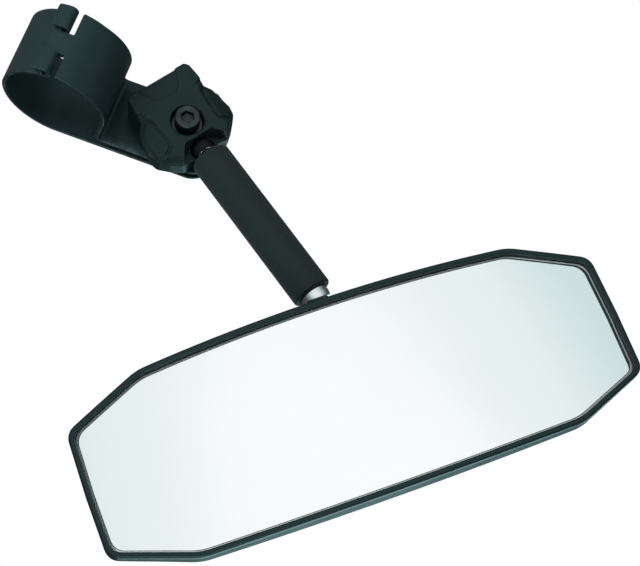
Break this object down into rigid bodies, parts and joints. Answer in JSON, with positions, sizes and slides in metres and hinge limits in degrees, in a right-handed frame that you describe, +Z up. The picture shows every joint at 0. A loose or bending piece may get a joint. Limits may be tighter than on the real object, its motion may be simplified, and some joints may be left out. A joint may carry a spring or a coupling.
{
  "type": "interior rearview mirror",
  "caption": "Wide convex rearview mirror on a ball-jointed arm, held to a round roll bar by a hinged two-strap clamp and one bolt.",
  "frame": {"origin": "centre of the round bar that the straps grip, at the middle of the bands' width", "axes": "+X along the bar, +Z up with the straps' tails hanging down, the clamp block faces -Y"},
  "size_m": [0.2519, 0.0828, 0.3467],
  "materials": {
    "strap_steel": "satin black powder coat on formed sheet steel",
    "block_black": "moulded, satin",
    "bolt_steel": "dark phosphated steel",
    "zinc_steel": "zinc plated",
    "bright_chrome": "polished",
    "sleeve_rubber": "matt soft rubber",
    "nylon": "black acetal",
    "nylon_blue": "plain nylon",
    "head_black": "fine moulded grain",
    "bezel_black": "satin moulded",
    "silvered_glass": "silvered convex glass with a ground edge",
    "foam": "closed cell foam",
    "bracket_black": "black e-coat"
  },
  "bodies": {
    "clamp": {"front_strap": "strap_steel", "clamp_bolt": "bolt_steel", "head_washer": "bolt_steel"},
    "rear_band": {"rear_strap": "strap_steel"},
    "nut": {"lock_nut": "zinc_steel", "nut_insert": "nylon_blue", "nut_washer": "zinc_steel"},
    "block": {"block_front": "block_black", "block_back": "block_black", "dowel_left": "zinc_steel", "dowel_right": "zinc_steel"},
    "upper_socket": {"upper_liner": "nylon"},
    "upper_stud": {"upper_ball_stud": "bright_chrome"},
    "arm": {"tube_plug": "zinc_steel", "arm_tube": "bright_chrome", "arm_sleeve": "sleeve_rubber", "seat_spring": "zinc_steel", "lower_seat": "zinc_steel"},
    "lower_socket": {"lower_liner": "nylon"},
    "lower_stud": {"lower_ball_stud": "bright_chrome"},
    "head": {"housing": "head_black", "bezel": "bezel_black", "mirror_glass": "silvered_glass", "glass_backing": "foam", "mirror_bracket": "bracket_black", "jam_nut": "zinc_steel", "bracket_screw_1": "zinc_steel", "bracket_screw_2": "zinc_steel", "bracket_screw_3": "zinc_steel", "bracket_screw_4": "zinc_steel"}
  },
  "joints": [
    {"name": "clamp_opening", "type": "hinge", "parent": "clamp", "child": "rear_band", "pos_m": [0, -0.02913, 0.00399], "axis": [1, 0, 0], "range_deg": [0, 5]},
    {"name": "nut_travel", "type": "slide", "parent": "clamp", "child": "nut", "axis": [0, 1, 0], "range_m": [0, 0.0075]},
    {"name": "block_swivel", "type": "hinge", "parent": "clamp", "child": "block", "pos_m": [0, 0.015, -0.065], "axis": [0, 1, 0], "range_deg": [-30, 30]},
    {"name": "arm_swing", "type": "hinge", "parent": "block", "child": "upper_socket", "pos_m": [-0.0085, 0.0132, -0.07736], "axis": [0, 1, 0], "range_deg": [-12, 12]},
    {"name": "arm_lean", "type": "hinge", "parent": "upper_socket", "child": "upper_stud", "pos_m": [-0.0085, 0.0132, -0.07736], "axis": [-0.8241, 0, 0.5664], "range_deg": [-1, 15]},
    {"name": "arm_twist", "type": "hinge", "parent": "upper_stud", "child": "arm", "pos_m": [-0.0085, 0.0132, -0.07736], "axis": [-0.5777, -0.0416, -0.8152], "range_deg": [-60, 60]},
    {"name": "mirror_tilt", "type": "hinge", "parent": "arm", "child": "lower_socket", "pos_m": [-0.0655, 0.0091, -0.1578], "axis": [0.6381, -0.037, -0.7691], "range_deg": [-18, 18]},
    {"name": "mirror_roll", "type": "hinge", "parent": "lower_socket", "child": "lower_stud", "pos_m": [-0.0655, 0.0091, -0.1578], "axis": [0.0186, -0.9978, 0.0635], "range_deg": [-8, 32]},
    {"name": "mirror_pan", "type": "hinge", "parent": "lower_stud", "child": "head", "pos_m": [-0.0655, 0.0091, -0.1578], "axis": [0.7697, 0.0548, 0.636], "range_deg": [-35, 35]}
  ],
  "couplings": [
    {"joint": "nut_travel", "follows": "clamp_opening", "m_per_rad": 0.0825}
  ]
}
